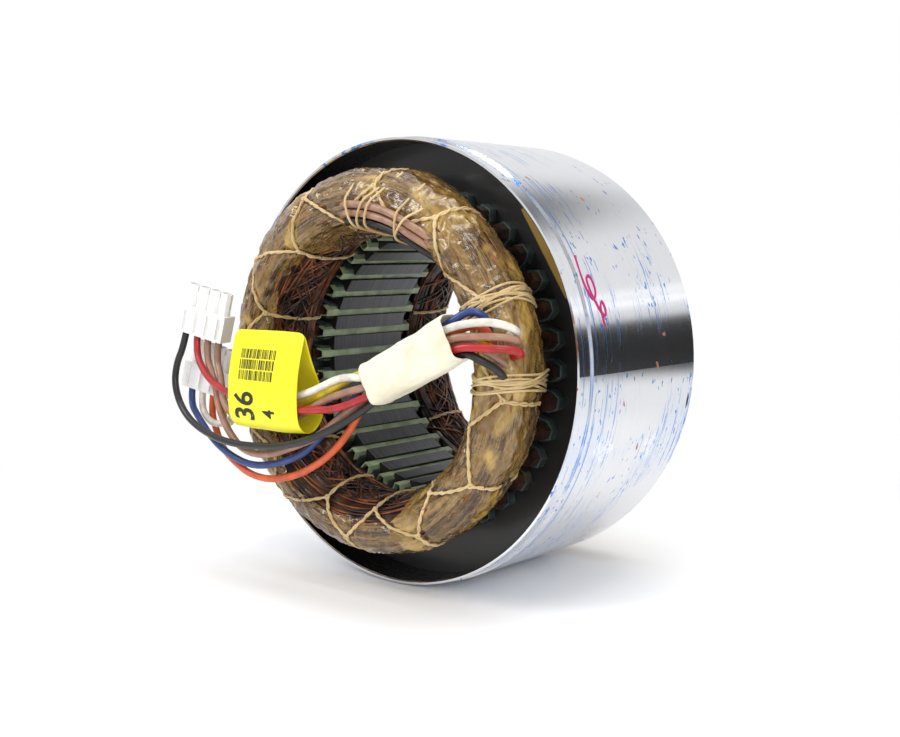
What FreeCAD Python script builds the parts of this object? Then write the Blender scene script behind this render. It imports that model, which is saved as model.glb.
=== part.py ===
"""Wound stator pressed into a turned steel sleeve, with its lead bundle and two plug housings.

Frame: millimetres. The bore axis is the Y axis, +Z is up and +X is right when the lead end is
faced. The pieces are laid out with the origin in the plane of the sleeve's lead-end face, and
+Y runs into the machine, away from the leads. They are saved with the origin in the middle of
the sleeve's seat, which is what the machine's frame holds.
"""
import FreeCAD, Part
import math
import os

V = FreeCAD.Vector
AXIS = V(0, 1, 0)
ORIGIN = V(0, 0, 0)

# ---- sleeve
SLEEVE_OD = 210.0            # seat that the motor frame grips
SLEEVE_LENGTH = 97.0
REGISTER_DEPTH = 0.9         # radial step from the seat down to either end register
FRONT_REGISTER = 9.5         # length of the lead-end register
REAR_REGISTER = 5.0          # length of the far-end register
SLEEVE_BORE = 205.0          # the core is pressed in here
MOUTH_CHAMFER = 0.6

# ---- core
SLOTS = 36
CORE_BORE = 120.0
CORE_LENGTH = 51.0
CORE_SETBACK = 21.5          # from the sleeve's lead-end face to the core
TOOTH_WIDTH = 4.4            # parallel-sided tooth
SLOT_BOTTOM_R = 83.5
SLOT_OPENING = 3.6
TIP_DEPTH = 1.0              # straight part of the tooth tip
TIP_FLARE = 1.6              # sloped part behind it

# ---- slot insulation and conductors
LINER_THICKNESS = 0.4
LINER_FIT = 0.05             # clearance from liner to slot wall
LINING_FLATS = 3             # flats round the bottom of a liner or coil side
CUFF_LENGTH = 4.5            # folded-back cuff at each end of a liner
CUFF_THICKNESS = 0.5
WEDGE_THICKNESS = 0.6
WEDGE_OVERHANG = 7.0
WEDGE_LEG = 2.6
WINDING_FIT = 0.15           # clearance round a coil side

# ---- end windings: an oval section that is cut off square where the coil sides enter it
END_RING_R = 74.5            # mid radius of the oval
END_RING_HALF_WIDTH = 13.9
END_RING_HALF_REACH = 23.4
END_RING_SETBACK = 24.5      # from the core's face to the oval's middle
END_RING_ROOT = 9.5          # from the core's face to the square end of the oval
END_RING_FLATS = 9           # flats round the oval
SKIN_FIT = 0.1               # gap under each layer that is wrapped on
FILM_THICKNESS = 0.4
LACING_WIDTH = 2.0
LACING_THICKNESS = 1.2
LACING_COUNT = 12
LACING_START = 25.0

# ---- leads
LEAD_OD = 3.4
JUMPER_ARC = (58.0, 96.0)    # where the jumper leads lie on the crest, degrees above +X
JUMPER_R = 73.0              # the outer one; the others lie inside it
JUMPER_GAPS = (0.4, 0.2)
EXIT_ARC = (-8.0, 32.0)      # where the leads leave the lead-end winding
TIE_ANGLES = (-5.0, 25.0)
TIE_WIDTH = 4.6

# The bundle's middle at both ends of its sleeve, and what each lead's offset is measured along
BUNDLE_RIGHT = V(70.0, -38.5, 17.8)
BUNDLE_LEFT = V(28.3, -43.0, -4.2)
BUNDLE_SAG = V(0, -1.2, -0.8)
ROW_AXIS = V(-0.466, 0, 0.885)
LAYER_AXIS = V(0, -1, 0)
ROW_GAPS = (1.0, 0.1)        # between neighbours in a layer, at the right and left end
LAYER_GAPS = (0.2, -0.15)    # between layers; on the left they lie in each other's hollows
REAR_GAP = 0.5               # the crossing lead's layer keeps clear of the others
ROW_PITCH = [LEAD_OD + gap for gap in ROW_GAPS]
LAYER_PITCH = [LEAD_OD + gap for gap in LAYER_GAPS]
REAR_LAYER = LEAD_OD + REAR_GAP
SLEEVE_WALL = 0.5
SLEEVE_FIT = 0.9
SLEEVE_CORNER = 3.5
LEAD_FLATS = 6

# Row at the right end, row at the left end, layer (+1 is the front one)
LAY = {
    "white": (1.0, 0.75, 1), "brown_1": (0.0, -0.25, 1), "red": (-1.0, -1.25, 1),
    "blue": (1.5, 1.25, 0), "orange": (0.5, 0.25, 0), "brown_2": (-0.5, -0.75, 0),
    "black": (-1.5, -1.75, 0), "yellow": (-0.5, 1.75, -1),
}

# From the winding to the bundle
EXITS = {
    "white": [V(83.4, -21.8, 20.2), V(88.5, -27.0, 22.5), V(83.0, -37.0, 24.3)],
    "brown_1": [V(84.5, -21.8, 16.1), V(89.5, -27.5, 17.8), V(83.5, -37.5, 18.2)],
    "red": [V(85.2, -21.8, 12.0), V(91.0, -27.5, 13.5), V(86.0, -38.0, 13.5)],
    "blue": [V(71.5, -27.6, 27.5), V(73.5, -34.0, 27.5)],
    "orange": [V(75.0, -27.6, 23.0), V(77.0, -34.5, 22.5)],
    "brown_2": [V(83.0, -23.3, 8.2), V(82.5, -30.0, 11.0), V(78.5, -36.2, 14.3)],
    "black": [V(83.8, -23.0, 3.6), V(83.0, -29.0, 5.2), V(79.5, -35.5, 8.5)],
    "yellow": [V(76.0, -27.3, 14.5), V(75.5, -32.0, 15.0)],
}

# From the bundle to the plugs
TAILS = {
    "white": [V(11.0, -45.5, -1.8), V(-6.0, -46.0, -9.5), V(-24.0, -45.0, -15.0), V(-44.0, -42.0, -19.5),
              V(-62.0, -38.9, -23.0), V(-79.0, -35.0, -32.0), V(-93.0, -32.6, -33.0)],
    "brown_1": [V(13.0, -46.8, -8.8), V(-3.0, -45.0, -14.5), V(-22.0, -44.0, -24.5), V(-44.0, -43.5, -28.0),
                V(-62.0, -42.8, -27.0), V(-74.0, -40.5, -20.0), V(-80.0, -36.0, -9.0)],
    "red": [V(10.9, -47.6, -15.9), V(-4.0, -48.0, -17.8), V(-20.6, -48.5, -19.0), V(-41.3, -48.0, -18.4),
            V(-64.0, -45.5, -15.0), V(-84.0, -41.6, -9.2)],
    "blue": [V(18.5, -39.6, -5.4), V(10.0, -38.5, -14.5), V(-1.0, -38.0, -24.0), V(-12.0, -38.0, -33.0),
             V(-20.0, -38.5, -40.0), V(-37.0, -38.5, -46.5), V(-55.0, -39.2, -49.5), V(-70.0, -40.2, -45.5),
             V(-84.0, -38.5, -39.5), V(-97.0, -35.5, -31.5)],
    "orange": [V(21.0, -38.7, -8.7), V(12.0, -38.0, -22.0), V(5.0, -38.5, -31.4), V(-8.0, -37.5, -41.7),
               V(-26.0, -37.0, -51.0), V(-44.8, -37.0, -55.3), V(-59.2, -37.0, -54.1), V(-70.0, -36.0, -50.0),
               V(-82.0, -33.5, -45.0), V(-92.0, -29.0, -38.5)],
    "brown_2": [V(9.0, -43.0, -19.5), V(-8.0, -42.4, -31.0), V(-24.0, -42.6, -37.0), V(-40.0, -42.6, -42.5),
                V(-57.0, -42.3, -42.3), V(-68.0, -42.0, -34.0), V(-76.0, -41.0, -24.0), V(-83.0, -37.5, -11.0)],
    "black": [V(19.3, -45.0, -18.4), V(2.0, -46.6, -27.5), V(-18.4, -46.8, -34.8), V(-42.0, -46.0, -38.2),
              V(-66.8, -46.2, -38.3), V(-90.8, -43.5, -33.1), V(-104.5, -41.0, -25.5), V(-110.5, -40.3, -14.5),
              V(-109.8, -39.2, -3.5)],
    "yellow": [V(16.0, -40.6, -1.0), V(6.0, -42.3, -6.5), V(-8.0, -42.0, -13.0), V(-26.0, -40.0, -19.0),
               V(-45.0, -38.0, -21.5), V(-62.0, -35.0, -20.5), V(-76.0, -30.8, -26.5), V(-86.0, -27.0, -35.0)],
}

# ---- plugs: two equal in-line housings, each placed by the middle of its lead entries
PLUG_WAYS = 4
PLUG_PITCH = 6.35
PLUG_CAVITY_R = 2.3
PLUG_BLOCK_HEIGHT = 13.0
PLUG_HEIGHT = 24.0
PLUG_THICKNESS = 9.4
TOWER_R = 2.95
LEAD_ENTRY = 5.0             # how far a lead goes into its cavity
LEAD_APPROACH = 8.0          # how far it runs straight before that
TERMINAL_LENGTH = 15.0
TERMINAL_BARREL = 5.0
TERMINAL_BARREL_R = 1.6
TERMINAL_R = 2.0
TERMINAL_BORE_R = 1.4
PLUG_FLATS = 10
PLUG_UP = V(0.24, 0.05, 0.97)
PLUG_ROW = V(0.93, 0.29, -0.22)
PLUGS = {
    "plug_1": (V(-94.5, -35.0, 10.5), ["black", "red", "brown_2", "brown_1"]),
    "plug_2": (V(-101.2, -26.7, -18.1), ["blue", "white", "orange", "yellow"]),
}

# ---- tag folded round the bundle: its section as (y, z), front top edge first
TAG_SECTION = [(-45.2, 16.0), (-48.5, 6.0), (-51.2, -8.0), (-51.2, -22.0), (-48.5, -27.8), (-43.5, -30.6),
               (-37.5, -28.5), (-33.0, -22.0), (-34.0, -10.0), (-41.0, 4.0), (-44.4, 16.0)]
TAG_X = (-58.0, -12.0)
TAG_THICKNESS = 0.4

os.makedirs("parts", exist_ok=True)

half_pitch = math.pi / SLOTS
core_front = CORE_SETBACK
core_rear = CORE_SETBACK + CORE_LENGTH
wedge_root_r = CORE_BORE / 2 + TIP_DEPTH + 0.2


def save(name, *solids):
    """Check a node's solids and write them, moved so that the origin is in the seat's middle."""
    shape = solids[0] if len(solids) == 1 else Part.makeCompound(list(solids))
    seat_middle = (FRONT_REGISTER + SLEEVE_LENGTH - REAR_REGISTER) / 2
    shape = shape.translated(V(0, -seat_middle, 0))
    for solid in shape.Solids:
        if not solid.isValid():
            raise ValueError(name + " is not a valid solid")
    shape.exportStep("parts/" + name + ".step")
    print(name, len(shape.Solids), "solids", round(shape.Volume, 1), "mm3")


def turned(points):
    """Revolve a closed outline of (radius, y) points about the bore axis."""
    wire = Part.makePolygon([V(r, y, 0) for r, y in points] + [V(points[0][0], points[0][1], 0)])
    return Part.Face(wire).revolve(ORIGIN, AXIS, 360)


def faceted_ring(outline):
    """Closed ring about the bore axis with one flat for each slot, from (radius, y) points."""
    def corner(point, index):
        angle = 2 * math.pi * (index - 0.5) / SLOTS
        return V(point[0] * math.cos(angle), point[1], point[0] * math.sin(angle))

    faces = []
    for index in range(SLOTS):
        for near, far in zip(outline, outline[1:] + outline[:1]):
            loop = [corner(near, index), corner(far, index), corner(far, index + 1), corner(near, index + 1)]
            faces.append(Part.Face(Part.makePolygon(loop + [loop[0]])))
    ring = Part.makeSolid(Part.makeShell(faces))
    return ring if ring.Volume > 0 else ring.reversed()


def at_slot(shape, index):
    """Turn a copy of a shape that was made on the +X axis to its slot."""
    copy = shape.copy()
    copy.rotate(ORIGIN, AXIS, -360.0 * index / SLOTS)
    return copy


def slot_half_width(radius):
    """Half the slot's width between two parallel-sided teeth."""
    return radius * math.tan(half_pitch) - TOOTH_WIDTH / 2 / math.cos(half_pitch)


def bottom_centre():
    """Radius at which a round slot bottom meets both slot walls and SLOT_BOTTOM_R."""
    slope = math.tan(half_pitch)
    return (SLOT_BOTTOM_R + TOOTH_WIDTH / 2 / math.cos(half_pitch)) / (1 + slope)


def slot_edges(inset, start_r, y):
    """Wall, round bottom and wall of a slot, inset from the slot's own outline."""
    centre = bottom_centre()
    half = slot_half_width(centre) - inset
    top = slot_half_width(start_r) - inset
    upper = Part.LineSegment(V(start_r, y, top), V(centre, y, half)).toShape()
    bottom = Part.Arc(V(centre, y, half), V(centre + half, y, 0), V(centre, y, -half)).toShape()
    lower = Part.LineSegment(V(centre, y, -half), V(start_r, y, -top)).toShape()
    return [upper, bottom, lower]


def slot_block(inset, start_r, y, length):
    """Solid that fills a slot outward of start_r."""
    edges = slot_edges(inset, start_r, y)
    close = Part.LineSegment(edges[-1].Vertexes[-1].Point, edges[0].Vertexes[0].Point).toShape()
    return Part.Face(Part.Wire(edges + [close])).extrude(V(0, length, 0))


def lining_block(inset, start_r, y, length):
    """slot_block with its round bottom in LINING_FLATS flats, for the many parts inside the slots."""
    centre = bottom_centre()
    half = slot_half_width(centre) - inset
    top = slot_half_width(start_r) - inset
    points = [V(start_r, y, top)]
    for step in range(LINING_FLATS + 1):
        angle = math.pi * step / LINING_FLATS
        points.append(V(centre + half * math.sin(angle), y, half * math.cos(angle)))
    points.append(V(start_r, y, -top))
    return Part.Face(Part.makePolygon(points + [points[0]])).extrude(V(0, length, 0))


def opening_block(y, length):
    """Slot mouth: a straight neck, then the flare behind the tooth tips."""
    neck = SLOT_OPENING / 2
    flare_r = CORE_BORE / 2 + TIP_DEPTH + TIP_FLARE
    wide = slot_half_width(flare_r)
    points = [(CORE_BORE / 2 - 2, neck), (CORE_BORE / 2 + TIP_DEPTH, neck), (flare_r, wide)]
    outline = [V(r, y, z) for r, z in points] + [V(r, y, -z) for r, z in reversed(points)]
    return Part.Face(Part.makePolygon(outline + [outline[0]])).extrude(V(0, length, 0))


# ---- sleeve and core
def frame_sleeve():
    seat = SLEEVE_OD / 2
    register = seat - REGISTER_DEPTH
    bore = SLEEVE_BORE / 2
    rear_step = SLEEVE_LENGTH - REAR_REGISTER
    return turned([(bore + MOUTH_CHAMFER, 0), (register, 0), (register, FRONT_REGISTER),
                   (seat, FRONT_REGISTER), (seat, rear_step), (register, rear_step),
                   (register, SLEEVE_LENGTH), (bore + MOUTH_CHAMFER, SLEEVE_LENGTH),
                   (bore, SLEEVE_LENGTH - MOUTH_CHAMFER), (bore, MOUTH_CHAMFER)])


def lamination_stack():
    outer = Part.makeCylinder(SLEEVE_BORE / 2, CORE_LENGTH, V(0, core_front, 0), AXIS)
    core = outer.cut(Part.makeCylinder(CORE_BORE / 2, CORE_LENGTH, V(0, core_front, 0), AXIS))
    flare_r = CORE_BORE / 2 + TIP_DEPTH + TIP_FLARE
    slot = slot_block(0, flare_r - 0.01, core_front - 1, CORE_LENGTH + 2)
    slot = slot.fuse(opening_block(core_front - 1, CORE_LENGTH + 2)).removeSplitter()
    return core.cut([at_slot(slot, i) for i in range(SLOTS)])


def slot_liner():
    start_r = CORE_BORE / 2 + TIP_DEPTH + TIP_FLARE + 0.3
    first = core_front - CUFF_LENGTH
    length = CORE_LENGTH + 2 * CUFF_LENGTH
    inner = lining_block(LINER_FIT + LINER_THICKNESS, start_r - 1, first - 1, length + 2)
    liner = lining_block(LINER_FIT, start_r, first, length)
    front_cuff = lining_block(-CUFF_THICKNESS, start_r, first, CUFF_LENGTH - LINER_FIT)
    rear_cuff = lining_block(-CUFF_THICKNESS, start_r, core_rear + LINER_FIT, CUFF_LENGTH - LINER_FIT)
    return liner.fuse([front_cuff, rear_cuff]).cut(inner)


def slot_wedge():
    """Channel-shaped strip that closes the slot mouth, legs pointing outward along the liner."""
    root = wedge_root_r
    half = SLOT_OPENING / 2 - 0.1
    leg_r = CORE_BORE / 2 + TIP_DEPTH + TIP_FLARE + WEDGE_LEG
    wide = slot_half_width(leg_r) - LINER_FIT - LINER_THICKNESS - 0.1
    t = WEDGE_THICKNESS
    outline = [(root, half), (leg_r, wide), (leg_r, wide - t), (root + t, half - t / 2)]
    points = [V(r, core_front - WEDGE_OVERHANG, z) for r, z in outline]
    points += [V(p.x, p.y, -p.z) for p in reversed(points)]
    face = Part.Face(Part.makePolygon(points + [points[0]]))
    return face.extrude(V(0, CORE_LENGTH + 2 * WEDGE_OVERHANG, 0))


def coil_side():
    start_r = CORE_BORE / 2 + TIP_DEPTH + TIP_FLARE + WEDGE_LEG + WINDING_FIT
    first = core_front - END_RING_ROOT
    inset = LINER_FIT + LINER_THICKNESS + WINDING_FIT
    return lining_block(inset, start_r, first, CORE_LENGTH + 2 * END_RING_ROOT)


# ---- end windings
def oval_points(outset, first=-90.0, last=90.0, steps=12):
    """Points (radius, axial reach) on the end winding's oval, outset from its surface.

    0 degrees is the crest, -90 the bore side and +90 the sleeve side.
    """
    points = []
    for step in range(steps + 1):
        angle = math.radians(first + (last - first) * step / steps)
        points.append((END_RING_R + (END_RING_HALF_WIDTH + outset) * math.sin(angle),
                       (END_RING_HALF_REACH + outset) * math.cos(angle)))
    return points


root_reach = END_RING_ROOT - END_RING_SETBACK
root_angle = 90 + math.degrees(math.asin(-root_reach / END_RING_HALF_REACH))


def end_y(end, reach):
    """Y of a point on an end winding. end is -1 at the lead end and +1 at the far end."""
    face = core_front if end < 0 else core_rear
    return face + end * (END_RING_SETBACK + reach)


def end_ring(end):
    outline = oval_points(0, -root_angle, root_angle, END_RING_FLATS)
    return faceted_ring([(r, end_y(end, reach)) for r, reach in outline])


def film_band(end, first_flat, last_flat):
    """Film wrapped over some of the flats of an end winding."""
    step = 2 * root_angle / END_RING_FLATS
    first = first_flat * step - root_angle
    last = last_flat * step - root_angle
    count = last_flat - first_flat
    under = oval_points(SKIN_FIT, first, last, count)
    over = oval_points(SKIN_FIT + FILM_THICKNESS, first, last, count)
    return faceted_ring([(r, end_y(end, reach)) for r, reach in over + under[::-1]])


def lacing_loop(end, angle, outset, width=LACING_WIDTH):
    """One turn of twine round the end winding, at an angle about the bore axis."""
    inner = oval_points(outset, -root_angle, root_angle, END_RING_FLATS)
    outer = oval_points(outset + LACING_THICKNESS, -root_angle, root_angle, END_RING_FLATS)
    root = END_RING_ROOT - END_RING_SETBACK
    inner[0] = (inner[0][0], root)
    inner[-1] = (inner[-1][0], root)
    outer[0] = (outer[0][0], root - LACING_THICKNESS)
    outer[-1] = (outer[-1][0], root - LACING_THICKNESS)
    faces = []
    for outline in (outer, inner):
        points = [V(r, end_y(end, reach), -width / 2) for r, reach in outline]
        faces.append(Part.Face(Part.makePolygon(points + [points[0]])))
    loop = faces[0].cut(faces[1]).extrude(V(0, 0, width))
    loop.rotate(ORIGIN, AXIS, -angle)
    return loop


def covered(angle):
    """True where the jumper leads or the lead exit take the place of a lacing turn."""
    wrapped = (angle + 180) % 360 - 180
    return any(low < wrapped < high for low, high in (JUMPER_ARC, EXIT_ARC))


# ---- leads and what is on them
def unit(vector):
    return V(vector).normalize()


def plug_axes():
    """Row, thickness and up axes of a plug, square to each other."""
    up = unit(PLUG_UP)
    depth = unit(up.cross(PLUG_ROW))
    return depth.cross(up), depth, up


def in_plug(shape, name):
    """Move a shape from plug coordinates (row, thickness, up) to its plug."""
    row, depth, up = plug_axes()
    centre = PLUGS[name][0]
    place = FreeCAD.Matrix(row.x, depth.x, up.x, centre.x, row.y, depth.y, up.y, centre.y,
                           row.z, depth.z, up.z, centre.z, 0, 0, 0, 1)
    return shape.transformed(place)


def way_offset(way):
    return (way - (PLUG_WAYS - 1) / 2) * PLUG_PITCH


def lead_end(lead):
    """Where a lead enters its plug, and where it ends inside it."""
    row, _, up = plug_axes()
    for centre, leads in PLUGS.values():
        if lead in leads:
            entry = centre + row * way_offset(leads.index(lead))
            return entry, entry + up * LEAD_ENTRY


def bundle_point(lead, side):
    """A lead's place at the right (0) or left (1) end of the bundle's sleeve."""
    centre = (BUNDLE_RIGHT, BUNDLE_LEFT)[side]
    layer = LAY[lead][2]
    depth = -REAR_LAYER if layer < 0 else layer * LAYER_PITCH[side]
    return centre + ROW_AXIS * (LAY[lead][side] * ROW_PITCH[side]) + LAYER_AXIS * depth


def along_bundle(right, left, station):
    """A point one or two thirds of the way along the bundle, which sags between its ends."""
    return right + (left - right) * (station / 3) + BUNDLE_SAG


def lead_route(lead):
    right = bundle_point(lead, 0)
    left = bundle_point(lead, 1)
    bundle = [right, along_bundle(right, left, 1), along_bundle(right, left, 2), left]
    entry, end = lead_end(lead)
    approach = entry - unit(PLUG_UP) * LEAD_APPROACH
    return EXITS[lead] + bundle + TAILS[lead] + [approach, end]


def rounded_path(points):
    """Straight runs joined by the largest tangent arcs that the runs allow."""
    edges = []
    start = points[0]
    radii = []
    for before, corner, after in zip(points, points[1:], points[2:]):
        into = unit(corner - before)
        out = unit(after - corner)
        turn = into.getAngle(out)
        reach = 0.45 * min((corner - before).Length, (after - corner).Length)
        radii.append(reach / math.tan(turn / 2))
        first = corner - into * reach
        last = corner + out * reach
        bisector = unit(out - into)
        middle = corner + bisector * (radii[-1] / math.cos(turn / 2) - radii[-1])
        edges.append(Part.LineSegment(start, first).toShape())
        edges.append(Part.Arc(first, middle, last).toShape())
        start = last
    edges.append(Part.LineSegment(start, points[-1]).toShape())
    return Part.Wire(edges), radii


def tube(path, start, direction):
    """Sweep a lead's six-sided section along a path."""
    side = unit(direction.cross(V(0.3, 0.2, 1)))
    other = unit(direction).cross(side)
    corner_r = LEAD_OD / 2 * math.sqrt(2 * math.pi / (LEAD_FLATS * math.sin(2 * math.pi / LEAD_FLATS)))
    ring = []
    for flat in range(LEAD_FLATS):
        angle = 2 * math.pi * flat / LEAD_FLATS
        ring.append(start + side * (corner_r * math.cos(angle)) + other * (corner_r * math.sin(angle)))
    return path.makePipeShell([Part.makePolygon(ring + [ring[0]])], True, True)


def lead_tube(name, points):
    path, radii = rounded_path(points)
    lead = tube(path, points[0], points[1] - points[0])
    section = math.pi * (LEAD_OD / 2) ** 2
    print(name, "length", round(path.Length, 1), "least radius", round(min(radii), 1),
          "volume ratio", round(lead.Volume / (section * path.Length), 3))
    return lead


def oblong(centre, half_height, half_depth, radius):
    """Closed outline across the bundle with round corners."""
    corners = []
    for row_sign, layer_sign in ((1, 1), (1, -1), (-1, -1), (-1, 1)):
        corners.append(centre + ROW_AXIS * (row_sign * half_height) + LAYER_AXIS * (layer_sign * half_depth))
    edges = []
    for index, corner in enumerate(corners):
        before = unit(corners[index - 1] - corner) * radius
        after = unit(corners[(index + 1) % 4] - corner) * radius
        middle = corner + (before + after) * (1 - math.sqrt(0.5))
        edges.append(Part.Arc(corner + before, middle, corner + after).toShape())
        edges.append(Part.LineSegment(corner + after, corners[(index + 1) % 4] - after).toShape())
    return Part.Wire(edges)


def sleeve_outline(side, outset):
    rows = [lay[side] for lay in LAY.values()]
    half_height = (max(rows) - min(rows)) / 2 * ROW_PITCH[side] + LEAD_OD / 2 + SLEEVE_FIT
    middle = (max(rows) + min(rows)) / 2 * ROW_PITCH[side]
    half_depth = REAR_LAYER + LEAD_OD / 2 + SLEEVE_FIT
    centre = (BUNDLE_RIGHT, BUNDLE_LEFT)[side] + ROW_AXIS * middle
    return [centre, half_height + outset, half_depth + outset, SLEEVE_CORNER + outset]


def lead_sleeve():
    """Flattened woven sleeve that follows the bundle's sag."""
    shells = []
    for outset in (SLEEVE_WALL, 0):
        right = sleeve_outline(0, outset)
        left = sleeve_outline(1, outset)
        outlines = [oblong(*right)]
        for station in (1, 2):
            sizes = [a + (b - a) * (station / 3) for a, b in zip(right[1:], left[1:])]
            outlines.append(oblong(along_bundle(right[0], left[0], station), *sizes))
        outlines.append(oblong(*left))
        shells.append(Part.makeLoft(outlines, True, True))
    return shells[0].cut(shells[1])


def prism(radius, bottom, top, x, flats=PLUG_FLATS):
    """Upright prism of equal area to the circle of that radius."""
    corner_r = radius * math.sqrt(2 * math.pi / (flats * math.sin(2 * math.pi / flats)))
    angles = [2 * math.pi * (flat + 0.5) / flats for flat in range(flats)]
    corners = [V(x + corner_r * math.cos(a), corner_r * math.sin(a), bottom) for a in angles]
    return Part.Face(Part.makePolygon(corners + [corners[0]])).extrude(V(0, 0, top - bottom))


def plug_housing():
    half_row = PLUG_WAYS * PLUG_PITCH / 2
    block = Part.makeBox(2 * half_row + 1.2, PLUG_THICKNESS, PLUG_BLOCK_HEIGHT,
                         V(-half_row - 0.6, -PLUG_THICKNESS / 2, 0))
    web = Part.makeBox(2 * half_row - PLUG_PITCH, 1.6, PLUG_HEIGHT - PLUG_BLOCK_HEIGHT - 3,
                       V(-half_row + PLUG_PITCH / 2, -0.8, PLUG_BLOCK_HEIGHT))
    parts = [web]
    cavities = []
    for way in range(PLUG_WAYS):
        x = way_offset(way)
        parts.append(prism(TOWER_R, PLUG_BLOCK_HEIGHT - 1, PLUG_HEIGHT, x))
        parts.append(Part.makeBox(1.0, 1.3, PLUG_BLOCK_HEIGHT - 3, V(x - 0.5, -PLUG_THICKNESS / 2 - 1.2, 1.5)))
        cavities.append(prism(PLUG_CAVITY_R, -1, PLUG_HEIGHT + 1, x))
    return block.fuse(parts).cut(cavities)


def terminal(way):
    """Crimped socket: a barrel on the lead's end, then the socket in the tower."""
    x = way_offset(way)
    shoulder = LEAD_ENTRY + TERMINAL_BARREL
    barrel = prism(TERMINAL_BARREL_R, LEAD_ENTRY, shoulder, x)
    socket = prism(TERMINAL_R, shoulder, LEAD_ENTRY + TERMINAL_LENGTH, x)
    bore = prism(TERMINAL_BORE_R, shoulder + 1, LEAD_ENTRY + TERMINAL_LENGTH + 1, x)
    return barrel.fuse(socket).cut(bore)


def wire_tag():
    """Strip of constant thickness along TAG_SECTION, extruded across the bundle."""
    sides = {1: [], -1: []}
    for index, (y, z) in enumerate(TAG_SECTION):
        before = TAG_SECTION[max(index - 1, 0)]
        after = TAG_SECTION[min(index + 1, len(TAG_SECTION) - 1)]
        run = V(0, after[0] - before[0], after[1] - before[1]).normalize()
        for sign, side in sides.items():
            side.append(V(TAG_X[0], y - sign * run.z * TAG_THICKNESS / 2, z + sign * run.y * TAG_THICKNESS / 2))
    outline = sides[1] + sides[-1][::-1]
    face = Part.Face(Part.makePolygon(outline + [outline[0]]))
    return face.extrude(V(TAG_X[1] - TAG_X[0], 0, 0))


def jumper(radius, y):
    """Lead that lies along the crest of the lead-end winding."""
    low, high = (math.radians(a) for a in JUMPER_ARC)
    stops = [V(radius * math.cos(a), y, radius * math.sin(a)) for a in (low, (low + high) / 2, high)]
    path = Part.Wire(Part.Arc(*stops).toShape())
    return tube(path, stops[0], V(-math.sin(low), 0, math.cos(low)))


save("frame_sleeve", frame_sleeve())
save("lamination_stack", lamination_stack())
save("slot_liners", *[at_slot(slot_liner(), i) for i in range(SLOTS)])
save("slot_wedges", *[at_slot(slot_wedge(), i) for i in range(SLOTS)])
for phase, letter in enumerate("uvw"):
    sides = [i for i in range(SLOTS) if i // 2 % 3 == phase]
    save("coil_sides_" + letter, *[at_slot(coil_side(), i) for i in sides])
save("front_end_winding", end_ring(-1))
save("rear_end_winding", end_ring(1))
save("front_film_wrap", film_band(-1, 3, 9))
save("rear_film_wrap", film_band(1, 3, 9))
loop_outset = 2 * SKIN_FIT + FILM_THICKNESS
lacing_angles = [360 * i / LACING_COUNT + LACING_START for i in range(LACING_COUNT)]
for name, end in (("front_lacing", -1), ("rear_lacing", 1)):
    loops = [lacing_loop(end, a, loop_outset) for a in lacing_angles if end > 0 or not covered(a)]
    save(name, *loops)
save("lead_tie", *[lacing_loop(-1, angle, loop_outset, TIE_WIDTH) for angle in TIE_ANGLES])
second_r = JUMPER_R - LEAD_OD - JUMPER_GAPS[0]
save("jumper_leads", jumper(JUMPER_R, -29.0), jumper(second_r, -28.3))
save("jumper_sleeving", jumper(second_r - LEAD_OD - JUMPER_GAPS[1], -26.2))
for lead in LAY:
    save("lead_" + lead, lead_tube(lead, lead_route(lead)))
save("lead_sleeve", lead_sleeve())
save("wire_tag", wire_tag())
for plug in PLUGS:
    save(plug + "_housing", in_plug(plug_housing(), plug))
    save(plug + "_terminals", *[in_plug(terminal(way), plug) for way in range(PLUG_WAYS)])
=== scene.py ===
import math
import random

import bmesh
import bpy
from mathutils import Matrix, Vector, noise


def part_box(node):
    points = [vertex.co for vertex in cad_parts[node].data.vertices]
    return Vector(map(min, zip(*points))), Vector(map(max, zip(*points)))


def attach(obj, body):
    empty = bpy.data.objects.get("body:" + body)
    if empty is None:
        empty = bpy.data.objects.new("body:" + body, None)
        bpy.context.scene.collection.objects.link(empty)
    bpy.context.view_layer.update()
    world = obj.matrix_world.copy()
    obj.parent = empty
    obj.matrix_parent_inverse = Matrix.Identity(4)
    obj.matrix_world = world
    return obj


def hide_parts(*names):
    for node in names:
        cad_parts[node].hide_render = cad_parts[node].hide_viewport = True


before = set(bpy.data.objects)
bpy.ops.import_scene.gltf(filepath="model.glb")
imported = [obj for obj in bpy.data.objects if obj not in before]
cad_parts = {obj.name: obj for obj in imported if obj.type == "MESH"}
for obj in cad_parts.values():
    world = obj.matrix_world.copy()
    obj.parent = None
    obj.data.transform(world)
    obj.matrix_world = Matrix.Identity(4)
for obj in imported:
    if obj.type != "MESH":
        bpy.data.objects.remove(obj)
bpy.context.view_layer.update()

MM = 0.001
rng = random.Random(36)

# ---- driving sizes, in millimetres; places along the bore count from the sleeve's lead-end face
sleeve_low, sleeve_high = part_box("frame_sleeve")
core_low, core_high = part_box("lamination_stack")
LEAD_FACE = sleeve_low[1]
SLEEVE_R = sleeve_high[0] / MM
CORE_FRONT = (core_low[1] - LEAD_FACE) / MM
CORE_REAR = (core_high[1] - LEAD_FACE) / MM
SLOTS = 36

RING_R = 74.5                # end winding: middle of its oval section
RING_HALF_WIDTH = 13.9
RING_HALF_REACH = 23.4
RING_SETBACK = 24.5
RING_ROOT = 130.0            # oval angle at which the winding is cut square to the core

LEAD_END = -1                # which way an end winding reaches along the bore
FAR_END = 1

LEAD_R = 1.7
TWINE_R = 0.55
STRAND_R = 0.5

GAP_WAY = (0.53, 0.85)       # level direction of the dark gap in the room, as (x, y)


def mm(x, y, z):
    """A place in the frame, from millimetres on the bore axis and the lead-end face."""
    return Vector((x * MM, y * MM + LEAD_FACE, z * MM))


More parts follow.
